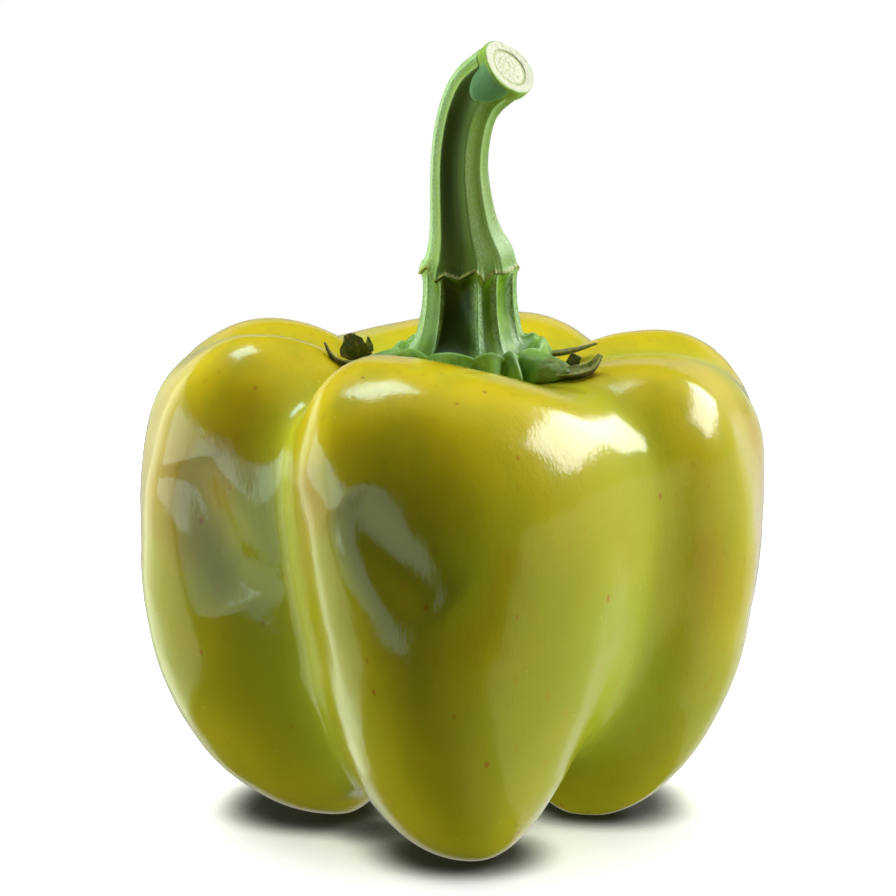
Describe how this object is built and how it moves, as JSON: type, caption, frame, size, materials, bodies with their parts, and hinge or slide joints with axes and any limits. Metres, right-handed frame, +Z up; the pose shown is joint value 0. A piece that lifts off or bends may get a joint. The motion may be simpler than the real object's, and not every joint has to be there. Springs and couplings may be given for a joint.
{
  "type": "bell pepper",
  "caption": "Whole fresh bell pepper with deep lobes, a fluted calyx and a bent cut stem, standing upright on its lobed feet.",
  "frame": {"origin": "middle of the whole pepper's box, on the surface that its feet stand on", "axes": "+Z up along the fruit to the stem, -Y towards the front lobe, +X to the right seen from the front"},
  "size_m": [0.0922, 0.0931, 0.1145],
  "materials": {
    "fruit_skin": "waxy glossy skin, yellow green with olive green flanks",
    "calyx_green": "satin fresh green, fluted",
    "stem_green": "satin green with a pale bloom",
    "dry_sepal": "dry, dark green to brown"
  },
  "bodies": {
    "root": {"fruit": "fruit_skin", "calyx": "calyx_green", "stem": "stem_green", "sepal_left_spike": "dry_sepal", "sepal_left_flap": "dry_sepal", "sepal_left_point": "dry_sepal", "sepal_right_spike": "dry_sepal", "sepal_right_flap": "dry_sepal", "sepal_right_keel": "dry_sepal"}
  },
  "joints": []
}
